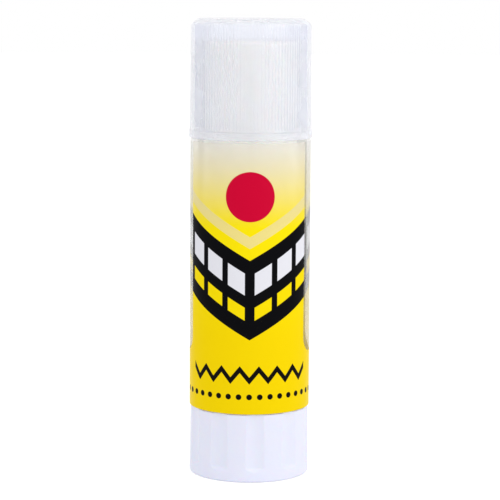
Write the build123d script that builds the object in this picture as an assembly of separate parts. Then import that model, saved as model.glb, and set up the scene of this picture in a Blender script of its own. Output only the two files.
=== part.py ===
from build123d import *
from math import degrees, sqrt
import os

# Screw-up glue stick, in millimetres, standing on its foot.
# The origin is the middle of the foot, +Z runs up the stick and the front of the label faces -Y.
# Turning the knob turns the lead screw. The screw lifts the carrier, which is keyed to the barrel,
# and the carrier pushes the glue out of the neck. The cap pushes on over the neck.

# Bore of the barrel, and the keys on its wall that keep the carrier from turning
bore_radius = 10.4
key_count = 4
key_width = 1.2
key_height = 0.3
key_drop = 8.0

# Barrel: a clear tube with a neck for the cap and a floor that carries the screw
barrel_height = 58.3
barrel_wall = 2.57
barrel_edge_chamfer = 0.35
neck_height = 21.1
neck_wall = 1.0
mouth_edge_chamfer = 0.3
neck_bead_rise = 3.5
neck_bead_length = 1.2
floor_thickness = 1.4
skirt_depth = 3.2
skirt_wall = 1.22

# Label: a thin printed film wrapped round the barrel, with its seam at the back
label_thickness = 0.08
label_clearance = 0.01
label_margin = 0.4
label_seam = 0.6

# Knob: the fluted white grip at the foot, hollow underneath
knob_height = 14.7
knob_step = 0.05
knob_wall = 1.5
knob_foot_chamfer = 0.4
knob_seat_gap = 0.1
web_drop = 0.5
web_thickness = 1.2
collar_wall = 1.0
collar_gap = 0.4
collar_clearance = 0.08
hub_radius = 4.6
hub_recess = 2.0
hub_gap = 0.2
under_rib_count = 8
under_rib_width = 1.0
under_rib_recess = 3.0
under_rib_embed = 0.4

# Flutes round the knob: shallow hollows that run out above a plain foot ring
flute_count = 10
flute_first_angle = -84.0
flute_width = 4.0
flute_depth = 0.5
flute_rise = 2.3
flute_runout = 0.8

# Lead screw: splined stub, journal, flange and a single-start left-hand thread
stub_rise = 3.3
spline_count = 8
spline_root_radius = 2.4
spline_height = 0.4
spline_width = 0.9
spline_clearance = 0.03
socket_gap = 0.3
journal_radius = 3.24
journal_clearance = 0.06
flange_radius = 5.2
flange_thickness = 1.0
flange_gap = 0.1
core_radius = 1.9
thread_lead = 9.0
thread_height = 1.0
thread_start = 0.5
thread_end = 1.0
tip_length = 1.2
tip_chamfer = 0.5

# Carrier: the cup under the glue, with a threaded boss, webs that grip the glue and key notches
carrier_gap = 0.3
cup_height = 10.0
cup_floor = 1.4
cup_wall = 0.8
cup_clearance = 0.08
key_clearance = 0.1
boss_radius = 4.4
boss_height = 8.0
nut_clearance = 0.15
grip_web_count = 4
grip_web_width = 0.9
grip_web_height = 4.0
grip_web_embed = 0.3
carrier_stop_drop = 9.4

# Glue: a cast stick that fills the cup and stands just below the mouth of the neck
glue_drop = 0.5
glue_gap = 0.15
glue_fit = 0.05
glue_edge_chamfer = 0.6
screw_hole_gap = 0.2
screw_tip_gap = 0.5

# Cap: a clear cup with a bevelled top, a lip at the rim and a wall of fine upright ribs inside
cap_seat_gap = 0.1
cap_headroom = 3.4
cap_top_wall = 1.1
cap_wall = 1.05
cap_bevel_width = 1.6
cap_bevel_height = 1.1
cap_lip_height = 1.7
cap_lip_step = 0.25
cap_ridge_rise = 1.3
cap_ridge_height = 0.25
cap_ridge_length = 0.8
cap_rib_count = 96
cap_rib_height = 0.2
cap_rib_backing = 0.05
cap_rib_gap = 0.35
cap_rib_rise = 2.2
snap_clearance = 0.1

# How far a cutting shape runs past what it cuts
overrun = 1.0

# Heights, worked out from the foot upwards
web_top = knob_height - web_drop
web_low = web_top - web_thickness
barrel_low = knob_height + knob_seat_gap
floor_low = barrel_low + skirt_depth
floor_top = floor_low + floor_thickness
collar_top = floor_low - collar_gap
hub_top = floor_low - hub_gap
stub_low = hub_recess + stub_rise
flange_low = floor_top + flange_gap
flange_top = flange_low + flange_thickness
carrier_low = flange_top + carrier_gap
cup_floor_top = carrier_low + cup_floor
boss_top = carrier_low + boss_height
cup_top = carrier_low + cup_height
shoulder = barrel_low + barrel_height
mouth = shoulder + neck_height
glue_top = mouth - glue_drop
cap_low = shoulder + cap_seat_gap
cap_inner_top = mouth + cap_headroom
cap_top = cap_inner_top + cap_top_wall
cap_ridge_mid = cap_low + cap_ridge_rise
cap_rib_low = cap_low + cap_rib_rise
neck_bead_mid = shoulder + neck_bead_rise
label_low = barrel_low + label_margin
label_high = shoulder - label_margin

# Travel of the carrier, from its seat over the flange to its stop below the mouth
carrier_travel = mouth - carrier_stop_drop - cup_top
thread_low = flange_top + thread_start
thread_top = boss_top + carrier_travel + thread_end
spindle_tip = thread_top + tip_length

# Radii, worked out from the bore outwards
barrel_radius = bore_radius + barrel_wall
neck_radius = bore_radius + neck_wall
skirt_bore_radius = barrel_radius - skirt_wall
collar_radius = skirt_bore_radius - collar_clearance
knob_radius = barrel_radius - knob_step
bearing_radius = journal_radius + journal_clearance
crest_radius = core_radius + thread_height
cup_radius = bore_radius - cup_clearance
cup_inner_radius = cup_radius - cup_wall
glue_radius = bore_radius - key_height - glue_gap
cap_rib_tip_radius = neck_radius + cap_rib_gap
cap_rib_root_radius = cap_rib_tip_radius + cap_rib_height
cap_inner_radius = cap_rib_root_radius + cap_rib_backing
cap_ridge_radius = cap_inner_radius - cap_ridge_height
cap_radius = cap_inner_radius + cap_wall
cap_lip_radius = cap_radius + cap_lip_step
neck_bead_radius = cap_ridge_radius - snap_clearance


def section(corners):
    """A face in the XZ plane from (radius, height, chamfer) corners, in order round the outline."""
    outline = []
    for index, (radius, height, chamfer) in enumerate(corners):
        corner = Vector(radius, height)
        if chamfer == 0:
            outline.append(corner)
            continue
        before = Vector(*corners[index - 1][:2])
        after = Vector(*corners[(index + 1) % len(corners)][:2])
        outline += [corner + (other - corner).normalized() * chamfer for other in (before, after)]
    return Plane.XZ * make_face(Polyline(*outline, close=True))


def turned(corners, arc=360):
    """The solid that a section sweeps about the stick's axis."""
    return revolve(section(corners), Axis.Z, revolution_arc=arc)


def round_the_axis(shape, count, first_angle=0):
    """Equal turned copies of a shape that was made at the +X side."""
    return [Rot(0, 0, first_angle + 360 * turn / count) * shape for turn in range(count)]


def block(inner, outer, width, low, high):
    """A box that reaches from one radius to another at the +X side."""
    middle = ((inner + outer) / 2, 0, (low + high) / 2)
    return Pos(*middle) * Box(outer - inner, width, high - low)


def thread(low, high, grow):
    """The left-hand ridge with 45 degree flanks, or its groove when it is grown by the clearance."""
    start_angle = -360 * (low - thread_low) / thread_lead
    crest = crest_radius + grow
    root = core_radius / 2
    half_width = crest - root
    outline = Polyline((root, -half_width), (crest, 0), (root, half_width), close=True)
    path = Helix(thread_lead, high - low, core_radius, lefthand=True)
    ridge = sweep(Plane.XZ * make_face(outline), path=path, is_frenet=True)
    return Pos(0, 0, low) * Rot(0, 0, start_angle) * ridge


def splines(grow):
    """The toothed section of the stub, or of its socket when it is grown by the clearance."""
    crest = spline_root_radius + spline_height + grow
    tooth = Pos(crest / 2, 0) * Rectangle(crest, spline_width + 2 * grow)
    return Circle(spline_root_radius + grow) + round_the_axis(tooth, spline_count)


def make_barrel():
    half_bead = neck_bead_length / 2
    tube = turned([
        (skirt_bore_radius, barrel_low, 0),
        (barrel_radius, barrel_low, barrel_edge_chamfer),
        (barrel_radius, shoulder, 0),
        (neck_radius, shoulder, 0),
        (neck_radius, neck_bead_mid - half_bead, 0),
        (neck_bead_radius, neck_bead_mid, 0),
        (neck_radius, neck_bead_mid + half_bead, 0),
        (neck_radius, mouth, mouth_edge_chamfer),
        (bore_radius, mouth, 0),
        (bore_radius, floor_top, 0),
        (bearing_radius, floor_top, 0),
        (bearing_radius, floor_low, 0),
        (skirt_bore_radius, floor_low, 0),
    ])
    key_inner = bore_radius - key_height
    key_outer = bore_radius + neck_wall / 2
    key = block(key_inner, key_outer, key_width, floor_top, mouth - key_drop)
    return tube + round_the_axis(key, key_count)


def make_label():
    """The film as a turned strip that starts and stops half a seam either side of the back, at +Y."""
    inner = barrel_radius + label_clearance
    outer = inner + label_thickness
    seam_angle = degrees(label_seam / barrel_radius)
    strip = [(inner, label_low, 0), (outer, label_low, 0), (outer, label_high, 0), (inner, label_high, 0)]
    back_angle = 90
    return Rot(0, 0, back_angle + seam_angle / 2) * turned(strip, arc=360 - seam_angle)


def make_base_knob():
    wall_inner = knob_radius - knob_wall
    knob = turned([
        (0, hub_recess, 0),
        (hub_radius, hub_recess, 0),
        (hub_radius, web_low, 0),
        (wall_inner, web_low, 0),
        (wall_inner, 0, 0),
        (knob_radius, 0, knob_foot_chamfer),
        (knob_radius, knob_height, 0),
        (collar_radius, knob_height, 0),
        (collar_radius, collar_top, 0),
        (collar_radius - collar_wall, collar_top, 0),
        (collar_radius - collar_wall, web_top, 0),
        (hub_radius, web_top, 0),
        (hub_radius, hub_top, 0),
        (0, hub_top, 0),
    ])
    rib = block(
        hub_radius - under_rib_embed,
        wall_inner + under_rib_embed,
        under_rib_width,
        under_rib_recess,
        web_top - web_thickness / 2,
    )
    knob += round_the_axis(rib, under_rib_count)
    socket_low = stub_low - socket_gap
    knob -= Pos(0, 0, socket_low) * extrude(splines(spline_clearance), hub_top + overrun - socket_low)
    return knob - round_the_axis(flute_cutter(), flute_count, flute_first_angle)


def flute_cutter():
    """An upright round bar with a cone at its lower end, which leaves a hollow with a sloping run-out."""
    half_width = flute_width / 2
    bulge = knob_radius - sqrt(knob_radius**2 - half_width**2)
    hollow = flute_depth - bulge
    bar_radius = (half_width**2 + hollow**2) / (2 * hollow)
    bar = turned([
        (0, flute_rise, 0),
        (bar_radius - flute_depth, flute_rise, 0),
        (bar_radius, flute_rise + flute_runout, 0),
        (bar_radius, knob_height + overrun, 0),
        (0, knob_height + overrun, 0),
    ])
    return Pos(knob_radius - flute_depth + bar_radius, 0, 0) * bar


def make_spindle():
    shaft = turned([
        (0, hub_top, 0),
        (journal_radius, hub_top, 0),
        (journal_radius, flange_low, 0),
        (flange_radius, flange_low, 0),
        (flange_radius, flange_top, 0),
        (core_radius, flange_top, 0),
        (core_radius, spindle_tip - tip_chamfer, 0),
        (core_radius - tip_chamfer, spindle_tip, 0),
        (0, spindle_tip, 0),
    ])
    stub = Pos(0, 0, stub_low) * extrude(splines(0), hub_top - stub_low)
    ridge = thread(thread_low + thread_height, thread_top - thread_height, 0)
    return shaft + stub + ridge


def make_carrier():
    cup = turned([
        (0, carrier_low, 0),
        (cup_radius, carrier_low, 0),
        (cup_radius, cup_top, 0),
        (cup_inner_radius, cup_top, 0),
        (cup_inner_radius, cup_floor_top, 0),
        (boss_radius, cup_floor_top, 0),
        (boss_radius, boss_top, 0),
        (0, boss_top, 0),
    ])
    web = block(
        boss_radius - grip_web_embed,
        cup_inner_radius + grip_web_embed,
        grip_web_width,
        carrier_low + cup_floor / 2,
        cup_floor_top + grip_web_height,
    )
    cup += round_the_axis(web, grip_web_count, 180 / key_count)
    notch = block(
        bore_radius - key_height - key_clearance,
        bore_radius + overrun,
        key_width + 2 * key_clearance,
        carrier_low - overrun,
        cup_top + overrun,
    )
    cup -= round_the_axis(notch, key_count)
    return cup - nut_cutter()


def nut_cutter():
    """The screw grown by its clearance, long enough to run out of both ends of the boss."""
    low = carrier_low - thread_lead
    high = boss_top + thread_lead
    bar_length = high - low + 2 * overrun
    bar = Pos(0, 0, (low + high) / 2) * Cylinder(core_radius + nut_clearance, bar_length)
    return bar + thread(low, high, nut_clearance)


def make_glue_stick():
    foot_radius = cup_inner_radius - glue_fit
    step = cup_top + glue_fit
    boss_hole_radius = boss_radius + glue_fit
    screw_hole_radius = crest_radius + screw_hole_gap
    hole_top = spindle_tip + screw_tip_gap
    stick = turned([
        (boss_hole_radius, cup_floor_top, 0),
        (foot_radius, cup_floor_top, 0),
        (foot_radius, step, 0),
        (glue_radius, step, 0),
        (glue_radius, glue_top, glue_edge_chamfer),
        (0, glue_top, 0),
        (0, hole_top, 0),
        (screw_hole_radius, hole_top, 0),
        (screw_hole_radius, boss_top + glue_fit, 0),
        (boss_hole_radius, boss_top + glue_fit, 0),
    ])
    slot = block(
        boss_radius,
        foot_radius + overrun,
        grip_web_width + 2 * glue_fit,
        cup_floor_top - overrun,
        cup_floor_top + grip_web_height + glue_fit,
    )
    return stick - round_the_axis(slot, grip_web_count, 180 / key_count)


def make_cap():
    half_ridge = cap_ridge_length / 2
    lip_top = cap_low + cap_lip_height
    shell = turned([
        (cap_inner_radius, cap_low, 0),
        (cap_lip_radius, cap_low, 0),
        (cap_lip_radius, lip_top, 0),
        (cap_radius, lip_top + cap_lip_step, 0),
        (cap_radius, cap_top - cap_bevel_height, 0),
        (cap_radius - cap_bevel_width, cap_top, 0),
        (0, cap_top, 0),
        (0, cap_rib_low, 0),
        (cap_inner_radius, cap_rib_low, 0),
        (cap_inner_radius, cap_ridge_mid + half_ridge, 0),
        (cap_ridge_radius, cap_ridge_mid, 0),
        (cap_inner_radius, cap_ridge_mid - half_ridge, 0),
    ])
    return shell - ribbed_hollow()


def ribbed_hollow():
    """The cap's bore among the ribs: a prism whose wall zigzags between their tips and their roots."""
    radii = [cap_rib_root_radius, cap_rib_tip_radius] * cap_rib_count
    half_pitch = 180 / cap_rib_count
    corners = [Vector(radius, 0).rotate(Axis.Z, turn * half_pitch) for turn, radius in enumerate(radii)]
    ridge_top = cap_ridge_mid + cap_ridge_length / 2
    low = (ridge_top + cap_rib_low) / 2
    return Pos(0, 0, low) * extrude(make_face(Polyline(*corners, close=True)), cap_inner_top - low)


def main():
    os.makedirs("parts", exist_ok=True)
    nodes = {
        "barrel": make_barrel(),
        "label": make_label(),
        "base_knob": make_base_knob(),
        "spindle": make_spindle(),
        "carrier": make_carrier(),
        "glue_stick": make_glue_stick(),
        "cap": make_cap(),
    }
    for name, shape in nodes.items():
        export_step(shape, f"parts/{name}.step")
        print(name, "solids", len(shape.solids()), "volume", round(shape.volume, 1))
    print("carrier travel", round(carrier_travel, 2), "turns", round(carrier_travel / thread_lead, 2))


main()
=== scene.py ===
# %% [markdown]
# # A screw-up glue stick
# A stick of glue stands in a clear barrel. A clear cap is pushed on over the barrel's neck, a
# printed film is wrapped round the body, and a white fluted knob at the foot turns the screw
# inside. Every piece below is a surface worked out with numpy on a grid: one direction runs along
# a profile, the other runs round the stick's axis. The CAD model is the fixed frame, and it gives
# the heights and radii that the pieces are fitted to.

# %% Load the frame
import math

import bpy
import numpy as np
from mathutils import Matrix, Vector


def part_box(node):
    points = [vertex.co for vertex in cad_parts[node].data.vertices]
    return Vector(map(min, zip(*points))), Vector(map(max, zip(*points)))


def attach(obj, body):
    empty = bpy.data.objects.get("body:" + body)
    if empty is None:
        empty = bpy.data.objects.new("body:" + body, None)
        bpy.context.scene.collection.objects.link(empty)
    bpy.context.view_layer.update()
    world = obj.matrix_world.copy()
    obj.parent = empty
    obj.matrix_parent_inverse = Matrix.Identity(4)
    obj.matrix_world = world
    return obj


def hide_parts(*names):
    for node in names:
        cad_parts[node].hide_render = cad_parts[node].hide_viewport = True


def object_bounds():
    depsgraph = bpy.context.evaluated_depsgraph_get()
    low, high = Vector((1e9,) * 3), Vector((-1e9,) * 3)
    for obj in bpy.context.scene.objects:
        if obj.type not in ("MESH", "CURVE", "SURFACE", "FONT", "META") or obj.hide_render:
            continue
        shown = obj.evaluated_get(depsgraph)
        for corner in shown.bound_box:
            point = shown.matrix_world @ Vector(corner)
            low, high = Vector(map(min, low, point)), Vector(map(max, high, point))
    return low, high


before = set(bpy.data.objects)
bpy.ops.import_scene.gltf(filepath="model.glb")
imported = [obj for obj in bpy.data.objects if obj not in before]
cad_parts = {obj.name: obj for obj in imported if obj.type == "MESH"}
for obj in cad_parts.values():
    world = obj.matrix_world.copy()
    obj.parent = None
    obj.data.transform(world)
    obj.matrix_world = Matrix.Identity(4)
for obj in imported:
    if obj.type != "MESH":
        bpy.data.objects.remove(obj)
cad_low, cad_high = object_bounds()
mm = 0.001
print("CAD box in mm:", [round(v / mm, 2) for v in (*cad_low, *cad_high)])

# %% [markdown]
# The frame's boxes give each node's lowest and highest corner. All nodes are centred on the Z
# axis, so the highest X of a box is its outer radius.

# %% Heights and radii from the frame
def reach(node):
    """Lowest height, highest height and outer radius of a CAD node."""
    low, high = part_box(node)
    return low.z, high.z, high.x


barrel_low, mouth, barrel_radius = reach("barrel")
label_low, label_high, label_radius = reach("label")
_, hub_top, knob_radius = reach("base_knob")
cap_low, cap_top, cap_lip_radius = reach("cap")
glue_low, glue_top, glue_radius = reach("glue_stick")
carrier_low, cup_top, cup_radius = reach("carrier")
stub_low, spindle_tip, flange_radius = reach("spindle")
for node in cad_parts:
    print(node, "from, to and radius in mm:", [round(v / mm, 2) for v in reach(node)])

# %% [markdown]
# A moulded piece has no sharp corners. An outline is written as a list of corners, each with
# the length that its rounding takes from both edges, and the rounding is a quadratic curve.
# A Bevel modifier could do it too, but a formula keeps the corner where the mould has it.

# %% Rounded outlines
def rounded(corners, steps=4):
    """Points along an outline of (radius, height, rounding) corners.

    Between the points A and B, which lie the rounding's length before and after the corner C,
    the curve is (1 - t)^2 A + 2 t (1 - t) C + t^2 B for t from 0 to 1.
    """
    t = np.linspace(0, 1, steps + 1)[:, None]
    points = []
    for index, (radius, height, rounding) in enumerate(corners):
        corner = np.array([radius, height])
        if rounding == 0:
            points.append(corner[None])
            continue
        before = np.array(corners[index - 1][:2]) - corner
        after = np.array(corners[(index + 1) % len(corners)][:2]) - corner
        start = corner + before / np.linalg.norm(before) * rounding
        end = corner + after / np.linalg.norm(after) * rounding
        points.append((1 - t) ** 2 * start + 2 * t * (1 - t) * corner + t**2 * end)
    return np.vstack(points)


def denser(outline, longest):
    """The outline with extra points on its long edges, so that no step is over that length."""
    parts = []
    for start, end in zip(outline[:-1], outline[1:]):
        count = max(1, math.ceil(np.linalg.norm(end - start) / longest))
        parts.append(start + (end - start) * (np.arange(count) / count)[:, None])
    return np.vstack([*parts, outline[-1:]])


bend = rounded([(0, 0, 0), (4 * mm, 0, 1 * mm), (4 * mm, 4 * mm, 0)])
print("A bend of two edges has", len(bend), "points, and", len(denser(bend, mm)), "when denser")

# %% [markdown]
# A turned surface is a grid: the rows are the outline's points and the columns are angles
# round the axis. The radius may change with the angle, which gives ribs, flutes and threads.
# The faces point outwards when the outline runs up the outside and down the inside.

# %% Grids of points and their faces
def around(columns):
    """Equal angles round the axis."""
    return np.arange(columns) * 2 * np.pi / columns


def turned_points(radius, height, columns):
    """Grid [row, column, xyz] with x = r cos(a), y = r sin(a), z = height, for the angles a."""
    angle = around(columns)
    radius, height = np.broadcast_arrays(radius, height)
    return np.stack([radius * np.cos(angle), radius * np.sin(angle), height + 0 * angle], axis=-1)


def grid_faces(points, loop):
    """Vertices and faces of a grid whose columns close on themselves.

    Each face joins a point, its right neighbour and the two above them. With loop, the last row
    joins the first. Otherwise a fan of triangles closes each end on its ring's centre.
    """
    rows, columns = points.shape[:2]
    index = np.arange(rows * columns).reshape(rows, columns)
    vertices = points.reshape(-1, 3)
    if loop:
        index = np.vstack([index, index[:1]])
    right = np.roll(index, -1, axis=1)
    faces = np.stack([index[:-1], right[:-1], right[1:], index[1:]], axis=-1)
    faces = faces.reshape(-1, 4).tolist()
    if not loop:
        first, last = np.full(columns, len(vertices)), np.full(columns, len(vertices) + 1)
        vertices = np.vstack([vertices, points[[0, -1]].mean(axis=1)])
        faces += np.stack([right[0], index[0], first], axis=-1).tolist()
        faces += np.stack([index[-1], right[-1], last], axis=-1).tolist()
    return vertices, faces


ring = turned_points(mm, bend[-2:, 1:], 8)
print("A closed ring of 2 rows and 8 columns has", len(grid_faces(ring, False)[1]), "faces")

# %% [markdown]
# Each piece is one object with its own mesh, named after what it is. It rides on one body of the
# frame and stands for one CAD node.

# %% Pieces
def piece_of(name, *grids):
    """One smooth mesh object from several (points, loop) grids."""
    vertices, faces, start = [], [], 0
    for points, loop in grids:
        corners, sides = grid_faces(points, loop)
        vertices.append(corners)
        faces += [[start + number for number in side] for side in sides]
        start += len(corners)
    mesh = bpy.data.meshes.new(name)
    mesh.from_pydata(np.vstack(vertices), [], faces)
    mesh.polygons.foreach_set("use_smooth", np.ones(len(faces), bool))
    piece = bpy.data.objects.new(name, mesh)
    bpy.context.scene.collection.objects.link(piece)
    print(name, "has", start, "vertices and", len(faces), "faces")
    return piece


def dress(piece, body, node, material):
    """Gives a piece its material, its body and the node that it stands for."""
    piece.data.materials.append(material)
    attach(piece, body)
    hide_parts(node)


# %% [markdown]
# Materials are built from nodes. These helpers keep the node code short: each adds one node
# and gives back its output.

# %% Node helpers for sockets and sums
def feed(tree, socket, value):
    """Joins a socket to an output, or sets its own value."""
    if isinstance(value, bpy.types.NodeSocket):
        tree.links.new(value, socket)
    else:
        socket.default_value = value


def calc(tree, operation, *values):
    """The output of a math node with the given inputs."""
    node = tree.nodes.new("ShaderNodeMath")
    node.operation = operation
    for socket, value in zip(node.inputs, values):
        feed(tree, socket, value)
    return node.outputs[0]


def ramp(tree, value, low, high, start=0.0, end=1.0):
    """A smooth change from start, where the value is low, to end, where it is high."""
    node = tree.nodes.new("ShaderNodeMapRange")
    node.interpolation_type = "SMOOTHSTEP"
    for socket, number in zip(node.inputs, (value, low, high, start, end)):
        feed(tree, socket, number)
    return node.outputs[0]


# %% Node helpers for colour and place
def blend(tree, mask, base, over):
    """The base colour where the mask is 0, the colour over it where the mask is 1."""
    node = tree.nodes.new("ShaderNodeMix")
    node.data_type = "RGBA"
    sockets = [socket for socket in node.inputs if socket.enabled]
    for socket, value in zip(sockets, (mask, base, over)):
        feed(tree, socket, value)
    return next(socket for socket in node.outputs if socket.enabled)


def noise(tree, point, scale, detail=2.0):
    """Noise from 0 to 1 with about that many cells to the metre."""
    node = tree.nodes.new("ShaderNodeTexNoise")
    feed(tree, node.inputs["Vector"], point)
    node.inputs["Scale"].default_value = scale
    node.inputs["Detail"].default_value = detail
    return node.outputs["Fac"]


def own_place(tree):
    """Where the shaded point is in the piece's own frame, in metres."""
    return tree.nodes.new("ShaderNodeTexCoord").outputs["Object"]


def parts_of(tree, point):
    """The X, Y and Z of a place."""
    split = tree.nodes.new("ShaderNodeSeparateXYZ")
    feed(tree, split.inputs[0], point)
    return split.outputs


def tilt(tree, height, depth):
    """A normal tilted by the slope of a height of 0 to 1 that stands for that depth."""
    node = tree.nodes.new("ShaderNodeBump")
    node.inputs["Distance"].default_value = depth
    tree.links.new(height, node.inputs["Height"])
    return node.outputs["Normal"]


def new_material(name):
    """A material with nodes, its tree and its main shader."""
    material = bpy.data.materials.new(name)
    material.use_nodes = True
    tree = material.node_tree
    print("material", name)
    return material, tree, tree.nodes["Principled BSDF"]


# %% [markdown]
# Milky plastic and thin ink pass more light on than a picture of them shows, because they
# scatter it forwards. Many scattering bounces would give that, slowly. Here the rays that only
# carry light are let through more easily than the rays that are seen.

# %% Light share
def light_share(tree, share):
    """1 for rays that are seen, and the share for shadow and diffuse rays, which carry light."""
    path = tree.nodes.new("ShaderNodeLightPath")
    carries = calc(tree, "MAXIMUM", path.outputs["Is Shadow Ray"], path.outputs["Is Diffuse Ray"])
    return calc(tree, "MULTIPLY_ADD", carries, share - 1.0, 1.0)


# %% [markdown]
# Motifs and zones are drawn with masks. A mask is 1 inside a zone and 0 outside, with an edge
# that is soft over a tenth of a millimetre, as print and frosting are.

# %% Masks
soft_edge = 0.05 * mm
print("A mask's edge is", round(2 * soft_edge / mm, 2), "mm wide")


def under(tree, value, limit):
    """1 where the value is under the limit."""
    return ramp(tree, value, limit - soft_edge, limit + soft_edge, 1.0, 0.0)


def between(tree, value, low, high):
    """1 where the value lies between the two limits."""
    from_middle = calc(tree, "ABSOLUTE", calc(tree, "SUBTRACT", value, (low + high) / 2))
    return under(tree, from_middle, (high - low) / 2)


def both(tree, one, other):
    """1 where both masks are 1."""
    return calc(tree, "MULTIPLY", one, other)


def repeated(tree, value, pitch):
    """How far a value is from the nearest whole number of pitches. The 100 keeps it positive."""
    steps = calc(tree, "FRACT", calc(tree, "ADD", calc(tree, "DIVIDE", value, pitch), 100.5))
    from_whole = calc(tree, "ABSOLUTE", calc(tree, "SUBTRACT", steps, 0.5))
    return calc(tree, "MULTIPLY", from_whole, pitch)


def distance(tree, one, other):
    """The square root of the sum of two squares."""
    squares = [calc(tree, "MULTIPLY", value, value) for value in (one, other)]
    return calc(tree, "SQRT", calc(tree, "ADD", *squares))


# %% [markdown]
# ## The finish of moulded plastic
# All five mouldings come from polished or lightly grained steel moulds. Their shine is never
# even: there are cloudy patches some millimetres wide, and a fine grain that the light
# just catches. Several materials share it, so it is a node group with its own sockets.

# %% Mould finish group
cloud_scale = 240.0
grain_scale = 2200.0

mould_finish = bpy.data.node_groups.new("mould_finish", "ShaderNodeTree")
for socket_name, socket_type in (
    ("Point", "NodeSocketVector"), ("Haze", "NodeSocketFloat"), ("Spread", "NodeSocketFloat"),
):
    mould_finish.interface.new_socket(socket_name, in_out="INPUT", socket_type=socket_type)
for socket_name in ("Cloud", "Roughness", "Grain"):
    mould_finish.interface.new_socket(
        socket_name, in_out="OUTPUT", socket_type="NodeSocketFloat")
group_in = mould_finish.nodes.new("NodeGroupInput").outputs
group_out = mould_finish.nodes.new("NodeGroupOutput").inputs
cloud = noise(mould_finish, group_in["Point"], cloud_scale, 3.0)
feed(mould_finish, group_out["Cloud"], cloud)
feed(mould_finish, group_out["Roughness"],
     calc(mould_finish, "MULTIPLY_ADD", cloud, group_in["Spread"], group_in["Haze"]))
feed(mould_finish, group_out["Grain"], noise(mould_finish, group_in["Point"], grain_scale))
print("The mould finish group has", len(mould_finish.nodes), "nodes")


def moulded(tree, haze, spread):
    """The mould finish group placed in a material. Roughness = haze + spread x cloud."""
    node = tree.nodes.new("ShaderNodeGroup")
    node.node_tree = mould_finish
    feed(tree, node.inputs["Point"], own_place(tree))
    node.inputs["Haze"].default_value = haze
    node.inputs["Spread"].default_value = spread
    return node.outputs


# %% [markdown]
# The cap and the barrel are clear polypropylene, which is a little milky and has a faint
# lavender tint. Full transmission would bend the light of every wall and leave the inside
# dark, where the real thin walls stay bright. So each wall only covers part of what is behind
# it, and more of it where it is seen along its face: rims, ribs and edges show as fine lines.
# On the inner wall those lines also get painted shade, a darker colour where a rib's side is
# seen along its face.

# %% Clear plastic
clear_transmission = 0.45
plastic_ior = 1.49
edge_blend = 0.35
cloud_in_milk = 0.06
milk_for_light = 0.1


def clear_plastic(name, tint, painted_shade_colour, inner_wall, cover, edge_cover, haze, spread, grain_depth):
    """Clear plastic with some milk in it. Alpha = the share of what is behind a wall that its
    milk hides: the cover where it is seen straight on, up to the edge cover along its face. Milk
    scatters most light onwards, so rays that only carry light meet just a tenth of it. On the
    inner wall, a (radius, lowest, highest), shade is painted: the colour turns towards the
    painted shade colour where a rib's side is seen along its face."""
    material, tree, shader = new_material(name)
    finish = moulded(tree, haze, spread)
    slant = tree.nodes.new("ShaderNodeLayerWeight")
    slant.inputs["Blend"].default_value = edge_blend
    facing = slant.outputs["Facing"]
    milk = calc(tree, "MULTIPLY_ADD", finish["Cloud"], cloud_in_milk, cover - cloud_in_milk / 2)
    alpha = calc(tree, "MULTIPLY_ADD", facing, edge_cover - cover, milk)
    alpha = calc(tree, "MULTIPLY", alpha, light_share(tree, milk_for_light))
    feed(tree, shader.inputs["Alpha"], alpha)

    x, y, z = parts_of(tree, own_place(tree))
    radius, lowest, highest = inner_wall
    inside = both(tree, under(tree, distance(tree, x, y), radius),
                  between(tree, z, lowest, highest))
    # Painted shade: on the inner wall the colour turns towards the painted shade colour where a
    # side is seen along its face.
    tint_and_painted_shade = blend(tree, both(tree, inside, facing), (*tint, 1), (*painted_shade_colour, 1))
    feed(tree, shader.inputs["Base Color"], tint_and_painted_shade)
    shader.inputs["Transmission Weight"].default_value = clear_transmission
    shader.inputs["IOR"].default_value = plastic_ior
    feed(tree, shader.inputs["Roughness"], finish["Roughness"])
    feed(tree, shader.inputs["Normal"], tilt(tree, finish["Grain"], grain_depth))
    return material


# %% [markdown]
# The knob, the carrier and the screw are white polypropylene. Light goes a little way into it
# and comes out again, which a small subsurface weight gives.

# %% White plastic
skin_weight = 0.15
skin_scale = 0.6 * mm
white_spread = 0.15
white_grain_depth = 0.008 * mm


def white_plastic(name, shade, light, haze):
    """Opaque plastic whose colour drifts between two tones, with light scattered in its skin."""
    material, tree, shader = new_material(name)
    finish = moulded(tree, haze, white_spread)
    feed(tree, shader.inputs["Base Color"], blend(tree, finish["Cloud"], (*shade, 1), (*light, 1)))
    feed(tree, shader.inputs["Roughness"], finish["Roughness"])
    feed(tree, shader.inputs["Normal"], tilt(tree, finish["Grain"], white_grain_depth))
    shader.inputs["Subsurface Weight"].default_value = skin_weight
    shader.inputs["Subsurface Scale"].default_value = skin_scale
    return material


# %% [markdown]
# ## Cap
# The cap is a clear moulding: a drafted wall with a bevelled top, a lip at the rim for the
# thumb, a snap ridge inside, and 96 fine upright ribs that let air out as it closes. The
# ribs only change the radius of the inner wall with the angle, so one grid makes it all.

# %% Cap surface
cap_rib_count = 96
cap_rib_height = 0.15 * mm
cap_rib_low = cap_low + 2.2 * mm
cap_inner_radius = 12.0 * mm
cap_inner_top = cap_top - 1.1 * mm
cap_ridge_mid = cap_low + 1.3 * mm
cap_wall_low_radius = 13.17 * mm
cap_wall_top_radius = 12.9 * mm
cap_lip_top = cap_low + 1.7 * mm
centre_ring = 0.5 * mm
rib_pitch = 2 * math.pi * cap_inner_radius / cap_rib_count
print("The cap's ribs stand", round(rib_pitch / mm, 2), "mm apart")


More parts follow.
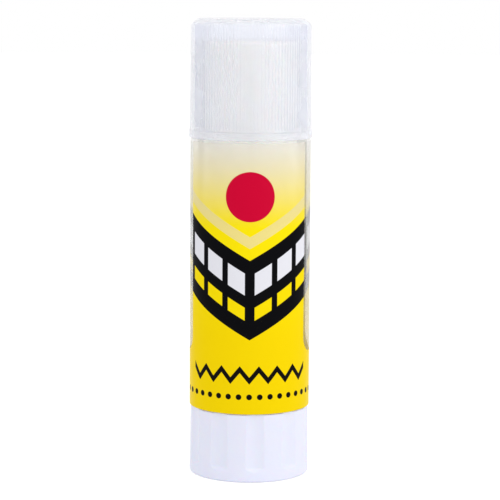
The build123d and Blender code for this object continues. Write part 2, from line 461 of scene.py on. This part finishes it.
def cap_points():
    """The cap's grid. On the ribbed rows the radius is less by the rib height times the square
    of (1 + cos(96 a)) / 2, which is a row of rounded ribs."""
    outline = denser(rounded([
        (centre_ring, cap_inner_top, 0),
        (cap_inner_radius, cap_inner_top, 0.25 * mm),
        (cap_inner_radius, cap_rib_low + 0.1 * mm, 0),
        (cap_inner_radius, cap_rib_low, 0),
        (cap_inner_radius, cap_ridge_mid + 0.4 * mm, 0.1 * mm),
        (cap_inner_radius - 0.25 * mm, cap_ridge_mid, 0.15 * mm),
        (cap_inner_radius, cap_ridge_mid - 0.4 * mm, 0.1 * mm),
        (cap_inner_radius, cap_low + 0.3 * mm, 0.05 * mm),
        (cap_inner_radius + 0.3 * mm, cap_low, 0.08 * mm),
        (cap_lip_radius, cap_low, 0.3 * mm),
        (cap_lip_radius, cap_lip_top, 0.12 * mm),
        (cap_wall_low_radius, cap_lip_top + 0.13 * mm, 0.12 * mm),
        (cap_wall_top_radius, cap_top - 1.1 * mm, 0.5 * mm),
        (cap_wall_top_radius - 1.6 * mm, cap_top, 0.6 * mm),
        (centre_ring, cap_top, 0),
    ]), longest=2.5 * mm)
    radius, height = outline.T
    rib = ((1 + np.cos(cap_rib_count * around(cap_rib_count * 8))) / 2) ** 2
    inner_wall = np.abs(radius - cap_inner_radius) < 0.01 * mm
    ribbed = inner_wall & (height > cap_rib_low + 0.05 * mm)
    radii = radius[:, None] - cap_rib_height * ribbed[:, None] * rib
    return turned_points(radii, height[:, None], len(rib))


# %% Cap piece
# The cap's painted shade colour is a dark lavender, painted on its ribbed inner wall where a rib's
# side is seen along its face.
clear_cap = clear_plastic(
    "clear_cap_plastic", tint=(0.885, 0.905, 1.0), painted_shade_colour=(0.28, 0.36, 0.66),
    inner_wall=(cap_inner_radius + 0.2 * mm, cap_rib_low + 0.1 * mm, cap_inner_top - 0.5 * mm),
    cover=0.42, edge_cover=0.70, haze=0.10, spread=0.10, grain_depth=0.006 * mm)
cap_piece = piece_of("cap_shell", (cap_points(), False))
dress(cap_piece, "cap", "cap", clear_cap)

# %% [markdown]
# ## Barrel
# The barrel is one clear moulding: a thick body, a thinner neck with a snap bead, a mouth with
# a rounded edge, a bore with four keys for the carrier, and a floor with a hole for the screw.
# Keys, notches and splines are all teeth: bands of angle where the radius steps in or out.

# %% Barrel sizes and teeth
shoulder = cap_low - 0.1 * mm
neck_radius = 11.4 * mm
bore_radius = 10.4 * mm
bead_mid = shoulder + 3.5 * mm
floor_low = barrel_low + 3.2 * mm
floor_top = floor_low + 1.4 * mm
skirt_bore_radius = 11.75 * mm
bearing_radius = 3.3 * mm
key_count = 4
key_depth = 0.3 * mm
key_half_width = 0.6 * mm
key_top = mouth - 7.9 * mm


def from_nearest(angle, count):
    """The angle to the nearest of count equally spaced directions, the first one at 0."""
    pitch = 2 * np.pi / count
    return np.abs((angle + pitch / 2) % pitch - pitch / 2)


def teeth(angle, count, radius, half_width, flank):
    """1 where the arc to the nearest of count directions, at that radius, is under the half
    width, and 0 elsewhere, with a straight flank of that length between."""
    arc = from_nearest(angle, count) * radius
    return np.clip((half_width - arc) / flank + 0.5, 0, 1)


print("The teeth take up", round(100 * teeth(around(360), 4, 1.0, 0.3, 0.1).mean()),
      "percent of a unit ring with four teeth 0.6 wide")

# %% Barrel surface
def barrel_points():
    """The barrel's grid. In the bore, below the keys' top, the radius drops at each key."""
    outline = rounded([
        (skirt_bore_radius, barrel_low, 0.15 * mm),
        (barrel_radius, barrel_low, 0.2 * mm),
        (barrel_radius, shoulder, 0.25 * mm),
        (neck_radius, shoulder, 0.2 * mm),
        (neck_radius, bead_mid - 0.6 * mm, 0.2 * mm),
        (neck_radius + 0.25 * mm, bead_mid, 0.25 * mm),
        (neck_radius, bead_mid + 0.6 * mm, 0.2 * mm),
        (neck_radius, mouth, 0.4 * mm),
        (bore_radius, mouth, 0.2 * mm),
        (bore_radius, key_top + 0.1 * mm, 0),
        (bore_radius, key_top - 0.1 * mm, 0),
        (bore_radius, floor_top, 0.3 * mm),
        (bearing_radius, floor_top, 0.15 * mm),
        (bearing_radius, floor_low, 0.15 * mm),
        (skirt_bore_radius, floor_low, 0.2 * mm),
    ])
    radius, height = denser(np.vstack([outline, outline[:1]]), longest=3.0 * mm)[:-1].T
    angle = around(480)
    key = teeth(angle, key_count, bore_radius, key_half_width, 0.15 * mm)
    keyed = (np.abs(radius - bore_radius) < 0.05 * mm) & (height < key_top)
    radii = radius[:, None] - key_depth * keyed[:, None] * key
    return turned_points(radii, height[:, None], len(angle))


print("The body's wall is", round((barrel_radius - bore_radius) / mm, 2), "mm thick, the neck's",
      round((neck_radius - bore_radius) / mm, 2), "mm")

# %% Barrel piece
# The barrel's painted shade colour is a pale grey-blue, painted on the bore where a key's side is
# seen along its face.
clear_barrel = clear_plastic(
    "clear_barrel_plastic", tint=(0.97, 0.97, 0.98), painted_shade_colour=(0.80, 0.82, 0.88),
    inner_wall=(bore_radius + 0.2 * mm, barrel_low, mouth),
    cover=0.20, edge_cover=0.35, haze=0.08, spread=0.06, grain_depth=0.004 * mm)
barrel_piece = piece_of("clear_barrel", (barrel_points(), True))
dress(barrel_piece, "barrel", "barrel", clear_barrel)

# %% [markdown]
# ## Lead screw
# The screw has a splined stub that sits in the knob, a plain journal in the barrel's floor, a
# flange above it and a long left-hand thread. A thread is a radius that depends on the
# height and the angle together: the ridge climbs by one lead in each turn.

# %% Screw sizes and thread
thread_lead = 9.0 * mm
core_radius = 1.9 * mm
crest_height = 1.0 * mm
crest_softness = 0.12 * mm
thread_run_out = 1.0 * mm
flange_low = floor_top + 0.1 * mm
flange_top = flange_low + 1.0 * mm
thread_low = flange_top + 0.5 * mm
thread_top = spindle_tip - 1.2 * mm
journal_radius = bearing_radius - 0.06 * mm
spline_root_radius = 2.4 * mm
spline_height = 0.4 * mm
spline_half_width = 0.45 * mm
spline_count = 8


def along_axis_to_ridge(height, angle):
    """How far a point is, along the axis, from the thread's ridge, which is at the angle 0 at
    the thread's start and falls by one lead for each turn of the angle."""
    turned = height - thread_low + thread_lead * angle / (2 * np.pi)
    return np.abs((turned + thread_lead / 2) % thread_lead - thread_lead / 2)


print("The thread has", round((thread_top - thread_low) / thread_lead, 2), "turns")

# %% Screw surface
def screw_points():
    """The screw's grid. Thread: core radius + crest height - distance to the ridge, where that
    is more than the core's. Splines: the root radius plus a tooth near each eighth of a turn."""
    angle = around(128)
    outline = denser(rounded([
        (0.3 * mm, stub_low, 0),
        (spline_root_radius, stub_low, 0.1 * mm),
        (spline_root_radius, hub_top, 0),
        (journal_radius, hub_top, 0.05 * mm),
        (journal_radius, flange_low, 0),
        (flange_radius, flange_low, 0.15 * mm),
        (flange_radius, flange_top, 0.15 * mm),
        (core_radius, flange_top, 0.15 * mm),
        (core_radius, spindle_tip, 0.4 * mm),
        (0.3 * mm, spindle_tip, 0),
    ]), longest=0.25 * mm)
    radius, height = outline.T[:, :, None]
    ridge = crest_height - np.hypot(along_axis_to_ridge(height, angle), crest_softness)
    run_in = np.clip((height - thread_low) / thread_run_out, 0, 1)
    run_out = np.clip((thread_top - height) / thread_run_out, 0, 1)
    threaded = (height > flange_top + 0.2 * mm) & (height < thread_top)
    thread = threaded * run_in * run_out * np.maximum(ridge, 0)
    splined = (height > stub_low + 0.1 * mm) & (height < hub_top - 0.05 * mm)
    spline = teeth(angle, spline_count, spline_root_radius, spline_half_width, 0.1 * mm)
    return turned_points(radius + thread + splined * spline_height * spline, height, len(angle))


print("Rows and columns of the screw's grid:", screw_points().shape[:2])

# %% Screw piece
white_screw = white_plastic(
    "white_screw_plastic", shade=(0.82, 0.82, 0.86), light=(0.87, 0.87, 0.90), haze=0.32)
screw_piece = piece_of("lead_screw", (screw_points(), False))
dress(screw_piece, "base", "spindle", white_screw)

# %% [markdown]
# ## Carrier
# The carrier is a white cup with notches that run on the barrel's keys and a boss that is cut
# with the screw's thread. The nut's wall is the screw's own formula, grown by the play, so
# the two always match. Four upright webs hold the foot of the glue.

# %% Carrier surface
nut_play = 0.15 * mm
boss_radius = 4.4 * mm
boss_top = carrier_low + 8.0 * mm
cup_floor_top = carrier_low + 1.4 * mm
cup_inner_radius = cup_radius - 0.8 * mm
notch_half_width = 0.7 * mm
notch_depth = 0.35 * mm


def carrier_points():
    """The cup as a closed loop of an outline, less the key notches outside and the thread's
    groove: no point lies nearer to the axis than the bore's radius plus the groove's depth."""
    bore = core_radius + nut_play
    outline = rounded([
        (bore, carrier_low, 0),
        (cup_radius, carrier_low, 0.25 * mm),
        (cup_radius, cup_top, 0.2 * mm),
        (cup_inner_radius, cup_top, 0.2 * mm),
        (cup_inner_radius, cup_floor_top, 0.3 * mm),
        (boss_radius, cup_floor_top, 0.3 * mm),
        (boss_radius, boss_top, 0.25 * mm),
        (bore, boss_top, 0),
    ])
    closed = np.vstack([outline, outline[:1]])
    radius, height = denser(closed, longest=0.4 * mm)[:-1].T[:, :, None]
    angle = around(256)
    notch = teeth(angle, key_count, bore_radius, notch_half_width, 0.12 * mm)
    groove = np.maximum(crest_height - along_axis_to_ridge(height, angle), 0)
    radii = radius - (radius > cup_radius - 0.3 * mm) * notch_depth * notch
    return turned_points(np.maximum(radii, bore + groove), height, len(angle))


print("Rows and columns of the carrier's grid:", carrier_points().shape[:2])

# %% Upright fins
def fin_points(inner, outer, width, low, high, turn):
    """An upright fin from one radius to another: its rounded section is the same at both ends,
    and it is turned about the axis."""
    edge = 0.15 * mm
    section = rounded([
        (-width / 2, low, edge), (-width / 2, high, edge),
        (width / 2, high, edge), (width / 2, low, edge),
    ])
    side, height = section.T
    reach_out = np.linspace(inner, outer, 4)[:, None] + 0 * side
    x = reach_out * math.cos(turn) - side * math.sin(turn)
    y = reach_out * math.sin(turn) + side * math.cos(turn)
    return np.stack([x, y, height + 0 * x], axis=-1)


print("A fin's grid has the shape", fin_points(0, mm, mm, 0, mm, 0).shape)

# %% Carrier piece
white_carrier = white_plastic(
    "white_carrier_plastic", shade=(0.84, 0.84, 0.87), light=(0.88, 0.88, 0.90), haze=0.35)
grip_webs = [
    (fin_points(boss_radius - 0.3 * mm, cup_inner_radius + 0.3 * mm, 0.9 * mm,
                carrier_low + 0.7 * mm, cup_floor_top + 4.0 * mm, math.radians(direction)), False)
    for direction in (45, 135, 225, 315)
]
carrier_piece = piece_of("glue_carrier", (carrier_points(), True), *grip_webs)
dress(carrier_piece, "carrier", "carrier", white_carrier)

# %% [markdown]
# ## Glue
# The glue is cast in the barrel, so its side is smooth and its edge is softly rounded. It is a
# waxy, slightly translucent solid, which subsurface scattering gives.

# %% Glue surface
glue_seat = 0.05 * mm
face_dip = 0.12 * mm
print("The glue is", round((glue_top - glue_low) / mm, 1), "mm long")


def glue_points():
    """A turned stick with a hollow for the screw below. Its face dips by a shallow parabola:
    the dip times 1 - (r / R)^2."""
    foot_radius = cup_inner_radius - glue_seat
    hole_radius = core_radius + crest_height + 0.2 * mm
    hole_top = spindle_tip + 0.5 * mm
    radius, height = denser(rounded([
        (0.4 * mm, hole_top, 0),
        (hole_radius, hole_top, 0.3 * mm),
        (hole_radius, boss_top + glue_seat, 0.1 * mm),
        (boss_radius + glue_seat, boss_top + glue_seat, 0.1 * mm),
        (boss_radius + glue_seat, glue_low, 0.1 * mm),
        (foot_radius, glue_low, 0.1 * mm),
        (foot_radius, cup_top + glue_seat, 0.1 * mm),
        (glue_radius, cup_top + glue_seat, 0.1 * mm),
        (glue_radius, glue_top, 0.8 * mm),
        (0.4 * mm, glue_top, 0),
    ]), longest=2.0 * mm).T
    on_face = height > glue_top - 0.01 * mm
    dip = face_dip * (1 - (radius / glue_radius) ** 2) * on_face
    return turned_points(radius[:, None], (height - dip)[:, None], 180)


# %% Glue material and piece
wax_shade, wax_light = (0.93, 0.90, 0.82, 1), (0.96, 0.94, 0.88, 1)
wax_patch_scale = 220.0
wax_haze, wax_spread = 0.35, 0.2
wax_wave_scale, wax_wave_depth = 500.0, 0.03 * mm
wax_glow, wax_glow_reach = 0.3, 1.0 * mm


def glue_wax():
    """Cream wax: its colour and gloss drift with noise, and light scatters under the surface."""
    material, tree, shader = new_material("glue_wax")
    point = own_place(tree)
    patch = noise(tree, point, wax_patch_scale, 3.0)
    wave = noise(tree, point, wax_wave_scale)
    hazy = calc(tree, "MULTIPLY_ADD", patch, wax_spread, wax_haze)
    feed(tree, shader.inputs["Base Color"], blend(tree, patch, wax_shade, wax_light))
    feed(tree, shader.inputs["Roughness"], hazy)
    feed(tree, shader.inputs["Normal"], tilt(tree, wave, wax_wave_depth))
    shader.inputs["Subsurface Weight"].default_value = wax_glow
    shader.inputs["Subsurface Scale"].default_value = wax_glow_reach
    return material


glue_piece = piece_of("glue_stick_wax", (glue_points(), False))
dress(glue_piece, "carrier", "glue_stick", glue_wax())

# %% [markdown]
# ## Knob
# The knob is a white hollow moulding with ten shallow flutes for the fingers. Each flute is the
# side of an upright round bar cut into the wall, and it runs out in a slope above a plain
# foot ring. Underneath, eight ribs join the hub to the wall.

# %% Knob sizes
knob_top = barrel_low - 0.1 * mm
knob_wall_inner = knob_radius - 1.5 * mm
web_top = knob_top - 0.5 * mm
web_low = web_top - 1.2 * mm
hub_radius = 4.6 * mm
hub_low = 2.0 * mm
socket_radius = spline_root_radius + spline_height + 0.06 * mm
socket_low = stub_low - 0.3 * mm
collar_radius = skirt_bore_radius - 0.08 * mm
collar_inner_radius = collar_radius - 1.0 * mm
collar_top = floor_low - 0.4 * mm
knob_foot_radius = 13.0 * mm
knob_rim_radius = 12.85 * mm
print("The knob is", round(knob_top / mm, 2), "mm high and its wall leans in by",
      round((knob_foot_radius - knob_rim_radius) / mm, 2), "mm")

# %% Flutes
flute_count = 10
flute_first = math.radians(-84)
flute_half_width = 2.0 * mm
flute_depth = 0.5 * mm
flute_low = 2.3 * mm
flute_run_out = 0.8 * mm
flute_softness = 0.06 * mm


def flute_wall(wall_radius, height, angle):
    """The radius of the wall with its flutes: the softened smaller one of the wall's radius and
    the near side of the bar, C cos(a) - sqrt(B^2 - C^2 sin^2(a)), where the bar's radius B
    shrinks in the run-out and C is how far its centre is from the axis."""
    hollow = flute_depth - (knob_radius - math.sqrt(knob_radius**2 - flute_half_width**2))
    bar = (flute_half_width**2 + hollow**2) / (2 * hollow)
    centre = knob_radius - flute_depth + bar
    shrunk = bar - flute_depth * np.clip(1 - (height - flute_low) / flute_run_out, 0, 2)
    offset = from_nearest(angle - flute_first, flute_count)
    within = shrunk**2 - (centre * np.sin(offset)) ** 2
    cut = centre * np.cos(offset) - np.sqrt(np.maximum(within, 0))
    near_side = np.where(within > 0, cut, wall_radius + mm)
    return (wall_radius + near_side - np.hypot(wall_radius - near_side, flute_softness)) / 2


deepest = knob_radius - flute_wall(knob_radius, knob_top / 2, flute_first)
print("A flute is", round(float(deepest) / mm, 2), "mm deep in its middle")

# %% Knob surface
def knob_points():
    """The knob's grid: an outline from the hub's underside round the wall to the socket of the
    screw, with the flutes on the rows of the outer wall."""
    slope = (knob_rim_radius - knob_foot_radius) / knob_top
    run_out_rows = [(knob_foot_radius + slope * z, z, 0) for z in np.linspace(1.9, 3.5, 13) * mm]
    radius, height = denser(rounded([
        (0.4 * mm, hub_low, 0),
        (hub_radius, hub_low, 0.3 * mm),
        (hub_radius, web_low, 0.3 * mm),
        (knob_wall_inner, web_low, 0.3 * mm),
        (knob_wall_inner, 0, 0.2 * mm),
        (knob_foot_radius, 0, 0.5 * mm),
        *run_out_rows,
        (knob_rim_radius, knob_top, 0.15 * mm),
        (collar_radius, knob_top, 0.15 * mm),
        (collar_radius, collar_top, 0.3 * mm),
        (collar_inner_radius, collar_top, 0.2 * mm),
        (collar_inner_radius, web_top, 0.2 * mm),
        (hub_radius, web_top, 0.2 * mm),
        (hub_radius, hub_top, 0.2 * mm),
        (socket_radius, hub_top, 0.1 * mm),
        (socket_radius, socket_low, 0.1 * mm),
        (0.4 * mm, socket_low, 0),
    ]), longest=1.5 * mm).T[:, :, None]
    angle = around(720)
    outer = ((radius > knob_radius - 0.6 * mm) & (height > 0.6 * mm)
             & (height < knob_top + 0.01 * mm))
    radii = np.where(outer, flute_wall(radius, height, angle), radius + 0 * angle)
    return turned_points(radii, height, len(angle))


print("Rows and columns of the knob's grid:", knob_points().shape[:2])

# %% Knob piece
white_knob = white_plastic(
    "white_knob_plastic", shade=(0.80, 0.815, 0.97), light=(0.83, 0.845, 0.99), haze=0.30)
under_ribs = [
    (fin_points(hub_radius - 0.4 * mm, knob_wall_inner + 0.4 * mm, 1.0 * mm,
                3.0 * mm, web_low + 0.6 * mm, math.radians(45 * turn)), False)
    for turn in range(8)
]
knob_piece = piece_of("fluted_knob", (knob_points(), False), *under_ribs)
dress(knob_piece, "base", "base_knob", white_knob)

# %% [markdown]
# ## Label
# The label is a thin film. Its ink is opaque yellow at the foot and fades to a thin milky cream
# towards the cap. At each side a window with little ink, rounded below, lets the level of the
# glue show. The design is a plain zigzag ornament: a black band with rows of white and yellow
# bars in it, a red disc above, and two rows of small marks at the foot, the same on the front
# and the back.

# %% Label surface
film_thickness = 0.08 * mm
film_edge = 0.03 * mm
film_overhang = 0.25 * mm
seam_width = 0.6 * mm


def label_points():
    """A closed film: a thin rounded section that follows the angle a from one side of the seam
    at the back to the other, with x = r sin(a) and y = -r cos(a). It starts a little under the
    CAD label's foot, so that the film comes down to the knob."""
    inner, film_low = label_radius - film_thickness, label_low - film_overhang
    section = rounded([
        (inner, film_low, film_edge),
        (inner, label_high, film_edge),
        (label_radius, label_high, film_edge),
        (label_radius, film_low, film_edge),
    ], steps=2)
    half_turn = np.pi - seam_width / 2 / label_radius
    angle = np.linspace(-half_turn, half_turn, 481)[:, None]
    radius, height = section.T[:, None]
    x = np.sin(angle) * radius
    return np.stack([x, -np.cos(angle) * radius, height + 0 * x], axis=-1)


label_piece = piece_of("label_film", (label_points(), False))

# %% [markdown]
# Motifs are measured on the film's own surface: how far up the stick, and how far round from
# the middle of the nearest panel. The band climbs to both sides, so its height is measured
# from a line that climbs with it. The windows stand a little askew of the panels.

# %% Places on the film
climb_rate = 8.0 / 13.7
window_half_width = 5.4 * mm
window_corner = 3.5 * mm
window_foot = 27.2 * mm
window_askew = math.radians(3.65)
print("The band climbs at", round(math.degrees(math.atan(climb_rate)), 1), "degrees")


def film_places(tree, point):
    """The height z, the angle from the front's middle, the arc from the middle of the nearest
    panel, and the climbing height z - 8 mm x (arc / 13.7 mm)."""
    x, y, z = parts_of(tree, point)
    angle = calc(tree, "ARCTAN2", x, calc(tree, "MULTIPLY", y, -1.0))
    turn = calc(tree, "ABSOLUTE", angle)
    nearest = calc(tree, "MINIMUM", turn, calc(tree, "SUBTRACT", math.pi, turn))
    arc = calc(tree, "MULTIPLY", nearest, label_radius)
    return z, angle, arc, calc(tree, "MULTIPLY_ADD", arc, -climb_rate, z)


def window_mask(tree, z, angle):
    """1 in the windows: under the corner's radius from a box that is smaller by the corner."""
    askew = calc(tree, "ABSOLUTE", calc(tree, "ADD", angle, window_askew))
    side = calc(tree, "ABSOLUTE", calc(tree, "SUBTRACT", askew, math.pi / 2))
    side = calc(tree, "MULTIPLY", side, label_radius)
    past_side = calc(tree, "SUBTRACT", side, window_half_width - window_corner)
    past_foot = calc(tree, "SUBTRACT", window_foot + window_corner, z)
    past = [calc(tree, "MAXIMUM", value, 0.0) for value in (past_side, past_foot)]
    return under(tree, distance(tree, *past), window_corner)


# %% [markdown]
# The motifs are stacked like inks on a press, each over the ones before it.

# %% Motifs
black, small_black = (0.004, 0.004, 0.005, 1), (0.006, 0.005, 0.005, 1)
white, bar_yellow, red = (0.80, 0.80, 0.86, 1), (0.96, 0.74, 0.003, 1), (0.62, 0.003, 0.035, 1)
band_low, band_high = 31.0 * mm, 48.0 * mm
white_row = (40.0 * mm, 44.7 * mm)
yellow_row = (34.6 * mm, 37.4 * mm)
bar_middle, bar_pitch, bar_half_width = 2.9 * mm, 5.0 * mm, 1.85 * mm
disc_height, disc_radius = 61.5 * mm, 5.3 * mm
zigzag_height, zigzag_slope, zigzag_half_width = 22.2 * mm, 1.2, 0.75 * mm
zigzag_pitch = 2 * math.pi * label_radius / 20
zigzag_reach = 3.5 * zigzag_pitch
dot_height, dot_radius = 18.7 * mm, 0.62 * mm
dot_pitch = 2 * math.pi * label_radius / 36
print("Zigzag pitch", round(zigzag_pitch / mm, 2), "mm, dot pitch", round(dot_pitch / mm, 2), "mm")


def disc_mask(tree, across, z, height, radius):
    """1 in a disc at that height, where across is measured from the disc's middle."""
    return under(tree, distance(tree, across, calc(tree, "SUBTRACT", z, height)), radius)


def motifs(tree, z, arc, climb):
    """(mask, ink) pairs in the order in which they are printed: band, bars, disc, small marks."""
    band = between(tree, climb, band_low, band_high)
    from_bar = repeated(tree, calc(tree, "SUBTRACT", arc, bar_middle), bar_pitch)
    bars = under(tree, from_bar, bar_half_width)
    white_bars = both(tree, between(tree, climb, *white_row), bars)
    yellow_bars = both(tree, between(tree, climb, *yellow_row), bars)
    disc = disc_mask(tree, arc, z, disc_height, disc_radius)

    wave = repeated(tree, arc, zigzag_pitch)
    wave = calc(tree, "MULTIPLY_ADD", wave, zigzag_slope, zigzag_height)
    from_wave = calc(tree, "ABSOLUTE", calc(tree, "SUBTRACT", z, wave))
    zigzag = both(tree, under(tree, from_wave, zigzag_half_width), under(tree, arc, zigzag_reach))
    dots = disc_mask(tree, repeated(tree, arc, dot_pitch), z, dot_height, dot_radius)
    marks = calc(tree, "MAXIMUM", zigzag, dots)
    masks = band, white_bars, yellow_bars, disc, marks
    return zip(masks, (black, white, bar_yellow, red, small_black))


# %% [markdown]
# Under them lies the ground: yellow with a paler echo of the band, fading to cream. Alpha is how
# much ink covers the film. The film is a closed shell, so a look through it meets two faces, and
# each takes its part of the cover. The ink is thin, so rays that carry light to the glue meet
# only half of each face's share.

# %% Ground
foot_yellow, top_yellow = (0.96, 0.70, 0.002, 1), (0.98, 0.80, 0.004, 1)
speckle_yellow, echo_beige = (0.90, 0.62, 0.002, 1), (0.80, 0.70, 0.42, 1)
milky_cream = (0.97, 0.925, 0.82, 1)
yellow_low, yellow_high = 29.0 * mm, 50.0 * mm
fade_low, fade_high = 54.0 * mm, 73.0 * mm
echo_low, echo_high = 50.5 * mm, 53.0 * mm
speckle_share, echo_share = 0.12, 0.6
least_cover = 0.45
print("The yellow fades over", round((fade_high - fade_low) / mm, 1), "mm")


def ground(tree, z, climb, grain):
    """The ground's colour and cover. Both follow the fade, which falls from 1 to 0: the yellow
    by its power 2/3, and the cover, down to the least one, by its power 1/3."""
    fade = ramp(tree, z, fade_low, fade_high, 1.0, 0.0)
    yellow = blend(tree, ramp(tree, z, yellow_low, yellow_high), foot_yellow, top_yellow)
    speckle = calc(tree, "MULTIPLY", grain, speckle_share)
    colour = blend(tree, speckle, yellow, speckle_yellow)
    echo = calc(tree, "MULTIPLY", between(tree, climb, echo_low, echo_high), echo_share)
    colour = blend(tree, echo, colour, echo_beige)
    colour = blend(tree, calc(tree, "POWER", fade, 2 / 3), milky_cream, colour)
    cover = calc(tree, "POWER", fade, 1 / 3)
    return colour, calc(tree, "MULTIPLY_ADD", cover, 1 - least_cover, least_cover)


# %% Label material
ink_grain_scale = 900.0
film_haze, film_spread = 0.28, 0.12
film_wave_scale, film_wave_depth = 120.0, 0.02 * mm
film_specular = 0.015
film_clearness = 0.94
window_clearness = 0.75
ink_for_light = 0.5


def printed_film():
    """The film's material: the ground, the motifs over it and the windows out of both. The
    clear share is 0.94 (1 - inked), and each face's alpha is 1 - the square root of it."""
    material, tree, shader = new_material("printed_film")
    point = own_place(tree)
    z, angle, arc, climb = film_places(tree, point)
    grain = noise(tree, point, ink_grain_scale, 3.0)
    colour, cover = ground(tree, z, climb, grain)
    for mask, ink in motifs(tree, z, arc, climb):
        colour = blend(tree, mask, colour, ink)
        cover = calc(tree, "MAXIMUM", cover, mask)
    feed(tree, shader.inputs["Base Color"], colour)

    panel = calc(tree, "MULTIPLY_ADD", window_mask(tree, z, angle), -window_clearness, 1.0)
    inked = both(tree, cover, panel)
    clear = calc(tree, "MULTIPLY_ADD", inked, -film_clearness, film_clearness)
    each_face = calc(tree, "SUBTRACT", 1.0, calc(tree, "SQRT", clear))
    alpha = calc(tree, "MULTIPLY", each_face, light_share(tree, ink_for_light))
    feed(tree, shader.inputs["Alpha"], alpha)
    hazy = calc(tree, "MULTIPLY_ADD", grain, film_spread, film_haze)
    feed(tree, shader.inputs["Roughness"], hazy)
    wave = noise(tree, point, film_wave_scale)
    feed(tree, shader.inputs["Normal"], tilt(tree, wave, film_wave_depth))
    shader.inputs["Specular IOR Level"].default_value = film_specular
    return material


dress(label_piece, "barrel", "label", printed_film())

# %% [markdown]
# ## Floor and light
# The stick stands on a white sweep in plain soft light. The sky and the floor are white to the
# camera and to reflected and refracted rays, but they light the stick at a plain level.

# %% Light path helper
def seen_directly(tree):
    """1 for camera, glossy and transmission rays, and 0 for rays that only carry light."""
    path = tree.nodes.new("ShaderNodeLightPath")
    seen = calc(tree, "MAXIMUM", path.outputs["Is Camera Ray"], path.outputs["Is Glossy Ray"])
    return calc(tree, "MAXIMUM", seen, path.outputs["Is Transmission Ray"])


# %% World
sky_light = 0.75

world = bpy.data.worlds.new("white_studio")
world.use_nodes = True
bpy.context.scene.world = world
sky_tree = world.node_tree
sky = sky_tree.nodes["Background"]
sky.inputs["Color"].default_value = (1, 1, 1, 1)
strength = calc(sky_tree, "MULTIPLY_ADD", seen_directly(sky_tree), 1.0 - sky_light, sky_light)
feed(sky_tree, sky.inputs["Strength"], strength)
print("The sky is seen at 1.0 and lights at", sky_light)

# %% Floor
floor_half = 3.0
floor_shade = (0.9, 0.9, 0.9, 1)
floor_glow = 0.38

floor_mesh = bpy.data.meshes.new("white_floor")
floor_mesh.from_pydata(
    [(x * floor_half, y * floor_half, 0) for x, y in ((-1, -1), (1, -1), (1, 1), (-1, 1))],
    [], [(0, 1, 2, 3)])
floor = bpy.data.objects.new("white_floor", floor_mesh)
bpy.context.scene.collection.objects.link(floor)
floor_paint, floor_tree, floor_shader = new_material("white_floor")
floor_shader.inputs["Base Color"].default_value = floor_shade
floor_shader.inputs["Roughness"].default_value = 1.0
floor_shader.inputs["Specular IOR Level"].default_value = 0.0
floor_shader.inputs["Emission Color"].default_value = (1, 1, 1, 1)
glow = calc(floor_tree, "MULTIPLY", seen_directly(floor_tree), floor_glow)
feed(floor_tree, floor_shader.inputs["Emission Strength"], glow)
floor_mesh.materials.append(floor_paint)

# %% [markdown]
# One wide lamp at the right is the main light, and a weaker one at the left fills in.

# %% Lamps
def soft_lamp(name, spot, size, power):
    """A square lamp that faces the middle of the stick."""
    light = bpy.data.lights.new(name, "AREA")
    light.size = size
    light.energy = power
    lamp = bpy.data.objects.new(name, light)
    bpy.context.scene.collection.objects.link(lamp)
    lamp.location = spot
    toward = (cad_low + cad_high) / 2 - lamp.location
    lamp.rotation_euler = toward.to_track_quat("-Z", "Y").to_euler()
    print(name, "gives", power, "W from", round(toward.length, 2), "m")


soft_lamp("key_lamp", (0.55, -0.45, 0.45), size=0.8, power=2.5)
soft_lamp("fill_lamp", (-0.75, -0.3, 0.35), size=0.8, power=1.1)

# %% [markdown]
# ## Camera
# The camera's lens, height and pitch come from a fit to the outline of the stick in the photo:
# a long lens close to the height of the cap's top, looking slightly down.

# %% Camera
focal_pixels, picture_pixels, sensor_width = 1955.0, 500, 36.0
camera_spot = (0, -421.5 * mm, 103.75 * mm)
pitch_down, roll = math.radians(7.45), math.radians(0.34)

camera_data = bpy.data.cameras.new("camera")
camera_data.sensor_width = sensor_width
camera_data.lens = focal_pixels / picture_pixels * sensor_width
camera_data.clip_start = 0.01
camera_data.clip_end = 20.0
camera = bpy.data.objects.new("camera", camera_data)
bpy.context.scene.collection.objects.link(camera)
turn = Matrix.Rotation(math.pi / 2 - pitch_down, 4, "X") @ Matrix.Rotation(roll, 4, "Z")
camera.matrix_world = Matrix.Translation(camera_spot) @ turn
bpy.context.scene.camera = camera
bpy.context.scene.view_settings.view_transform = "Standard"
print("The lens is", round(camera_data.lens, 1), "mm long")
